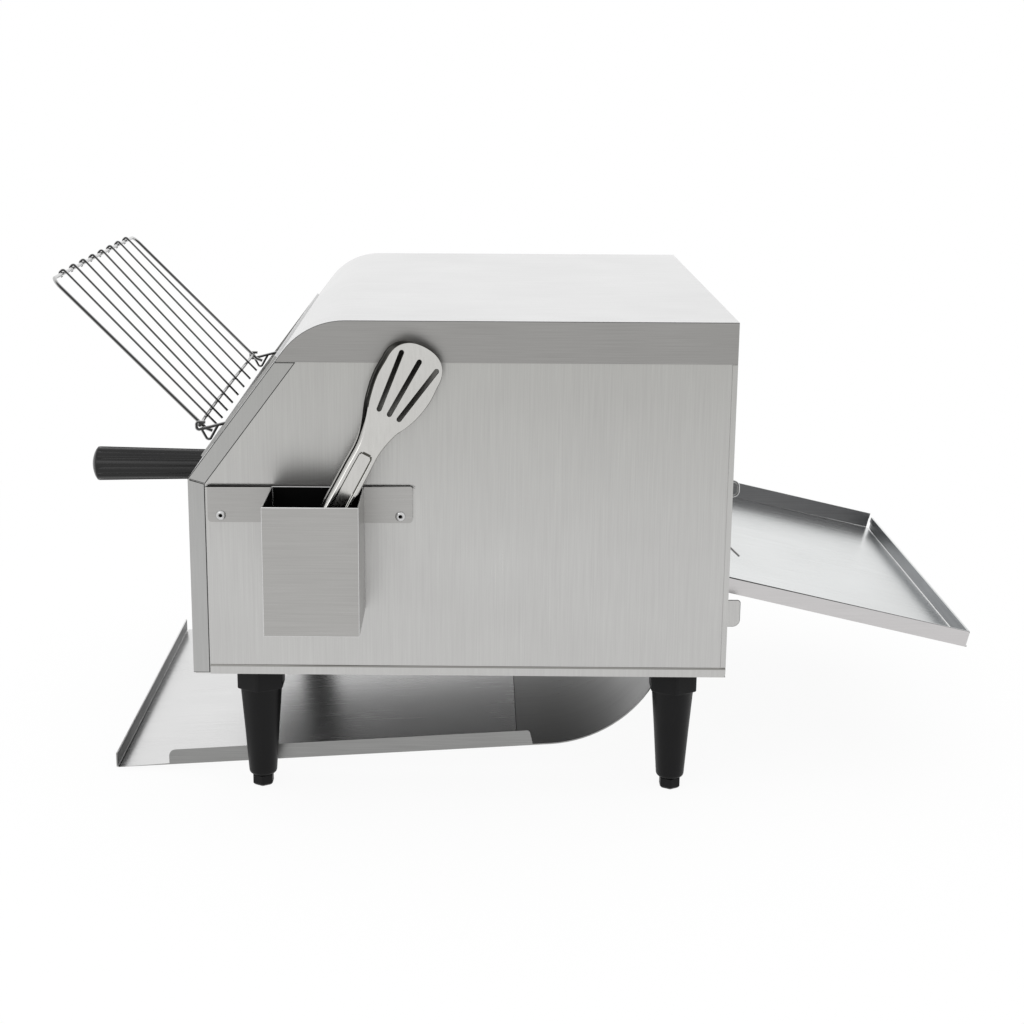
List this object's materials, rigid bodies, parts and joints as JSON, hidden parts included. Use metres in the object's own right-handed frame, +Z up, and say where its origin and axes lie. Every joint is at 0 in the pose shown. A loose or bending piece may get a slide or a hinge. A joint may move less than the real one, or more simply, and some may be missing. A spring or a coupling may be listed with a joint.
{
  "type": "countertop conveyor toaster",
  "caption": "Countertop conveyor toaster: bent-sheet casing on levelling legs, wire feed rack, belt between heating tubes, toast chute below, tray at the rear, side holder with tongs.",
  "frame": {"origin": "centre of the whole machine's footprint box, on the counter", "axes": "+Z up, -Y towards the user at the feed rack, +X towards the side with the utensil holder"},
  "size_m": [0.5356, 0.7498, 0.4129],
  "materials": {
    "stainless_sheet": "brushed",
    "inner_steel": "plain mill",
    "wire": "bright",
    "black_plastic": "satin",
    "shaft_steel": "turned",
    "heater_sheath": "oxidised",
    "ceramic": "unglazed",
    "motor_casting": "as cast",
    "rocker_plastic": "gloss",
    "lamp_lens": "clear amber",
    "terminal_plastic": "matt"
  },
  "bodies": {
    "casing": {"base_pan": "stainless_sheet", "side_panel_right": "stainless_sheet", "side_panel_left": "stainless_sheet", "hood": "stainless_sheet", "front_panel": "stainless_sheet", "rear_panel": "stainless_sheet", "casing_screws": "shaft_steel", "chamber_wall_right": "inner_steel", "chamber_wall_left": "inner_steel", "top_reflector": "inner_steel", "lower_reflector": "inner_steel", "lower_partition": "inner_steel", "conveyor_belt": "wire", "belt_side_links": "wire", "shaft_bushes": "shaft_steel", "belt_rails": "inner_steel", "gearmotor": "motor_casting", "drive_chain": "shaft_steel", "fan_frame": "black_plastic", "upper_heaters": "heater_sheath", "lower_heaters": "heater_sheath", "heater_holders": "ceramic", "crumb_tray_runners": "inner_steel", "heat_selector": "terminal_plastic", "speed_control": "terminal_plastic", "switch_housing": "black_plastic", "indicator_lamp": "lamp_lens", "terminal_block": "terminal_plastic", "cable_gland": "black_plastic", "hook_pins": "shaft_steel", "chute_hanger_rod": "shaft_steel", "tray_brackets": "stainless_sheet", "rear_wire_clip": "wire", "holder_strip": "stainless_sheet", "holder_rivets": "shaft_steel", "utensil_holder": "stainless_sheet", "legs": "black_plastic"},
    "drive": {"drive_shaft": "shaft_steel", "drive_sprockets": "shaft_steel", "shaft_sprocket": "shaft_steel"},
    "idler": {"idler_shaft": "shaft_steel", "idler_rollers": "shaft_steel"},
    "motor": {"motor_sprocket": "shaft_steel"},
    "fan": {"fan_rotor": "black_plastic"},
    "crumb_drawer": {"crumb_tray": "stainless_sheet", "crumb_tray_handle": "black_plastic"},
    "heat_dial": {"heat_knob": "black_plastic"},
    "speed_dial": {"speed_knob": "black_plastic"},
    "rocker": {"power_rocker": "rocker_plastic"},
    "rack": {"rack_frame": "wire", "rack_wires": "wire"},
    "chute": {"toast_chute": "stainless_sheet"},
    "tray": {"rear_tray": "stainless_sheet"},
    "flap": {"discharge_flap": "inner_steel"},
    "tongs": {"tongs_rear_arm": "stainless_sheet"},
    "tongs_front": {"tongs_front_arm": "stainless_sheet"},
    "foot_nf": {"foot_near_front": "black_plastic"},
    "foot_nr": {"foot_near_rear": "black_plastic"},
    "foot_ff": {"foot_far_front": "black_plastic"},
    "foot_fr": {"foot_far_rear": "black_plastic"}
  },
  "joints": [
    {"name": "rack_fold", "type": "hinge", "parent": "casing", "child": "rack", "pos_m": [-0.0338, -0.21837, 0.2975], "axis": [-1, 0, 0], "range_deg": [0, 70]},
    {"name": "crumb_tray_slide", "type": "slide", "parent": "casing", "child": "crumb_drawer", "axis": [0, -1, 0], "range_m": [0, 0.3]},
    {"name": "drive_spin", "type": "hinge", "parent": "casing", "child": "drive", "pos_m": [-0.0338, 0.07973, 0.2562], "axis": [1, 0, 0], "continuous": true},
    {"name": "idler_spin", "type": "hinge", "parent": "casing", "child": "idler", "pos_m": [-0.0338, -0.21237, 0.2562], "axis": [1, 0, 0], "continuous": true},
    {"name": "motor_spin", "type": "hinge", "parent": "casing", "child": "motor", "pos_m": [-0.2238, -0.04537, 0.1465], "axis": [1, 0, 0], "continuous": true},
    {"name": "fan_spin", "type": "hinge", "parent": "casing", "child": "fan", "pos_m": [0.0862, -0.06037, 0.1165], "axis": [0, 0, 1], "continuous": true},
    {"name": "heat_turn", "type": "hinge", "parent": "casing", "child": "heat_dial", "pos_m": [-0.0938, -0.25037, 0.1545], "axis": [0, 1, 0], "range_deg": [0, 270]},
    {"name": "speed_turn", "type": "hinge", "parent": "casing", "child": "speed_dial", "pos_m": [-0.1638, -0.25037, 0.1545], "axis": [0, 1, 0], "range_deg": [0, 270]},
    {"name": "rocker_tilt", "type": "hinge", "parent": "casing", "child": "rocker", "pos_m": [-0.0238, -0.24637, 0.1545], "axis": [1, 0, 0], "range_deg": [0, 16]},
    {"name": "chute_lift", "type": "hinge", "parent": "casing", "child": "chute", "pos_m": [-0.0338, 0.14858, 0.1575], "axis": [-1, 0, 0], "range_deg": [0, 8]},
    {"name": "rear_tray_lift", "type": "hinge", "parent": "casing", "child": "tray", "pos_m": [-0.0338, 0.16063, 0.1704], "axis": [1, 0, 0], "range_deg": [0, 60]},
    {"name": "flap_turn", "type": "hinge", "parent": "casing", "child": "flap", "pos_m": [-0.0338, 0.13963, 0.1765], "axis": [-1, 0, 0], "range_deg": [0, 45]},
    {"name": "tongs_lift", "type": "slide", "parent": "casing", "child": "tongs", "axis": [0, 0.4756, 0.8796], "range_m": [0, 0.2]},
    {"name": "tongs_pinch", "type": "hinge", "parent": "tongs", "child": "tongs_front", "pos_m": [0.2501, -0.17487, 0.1752], "axis": [0.2384, -0.8335, 0.4984], "range_deg": [0, 1.5], "stiffness_Nm_per_rad": 3},
    {"name": "foot_near_front_level", "type": "slide", "parent": "casing", "child": "foot_nf", "axis": [0, 0, -1], "range_m": [0, 0.012]},
    {"name": "foot_near_rear_level", "type": "slide", "parent": "casing", "child": "foot_nr", "axis": [0, 0, -1], "range_m": [0, 0.012]},
    {"name": "foot_far_front_level", "type": "slide", "parent": "casing", "child": "foot_ff", "axis": [0, 0, -1], "range_m": [0, 0.012]},
    {"name": "foot_far_rear_level", "type": "slide", "parent": "casing", "child": "foot_fr", "axis": [0, 0, -1], "range_m": [0, 0.012]}
  ],
  "couplings": [
    {"joint": "idler_spin", "follows": "drive_spin", "ratio": 1},
    {"joint": "motor_spin", "follows": "drive_spin", "ratio": 2}
  ]
}
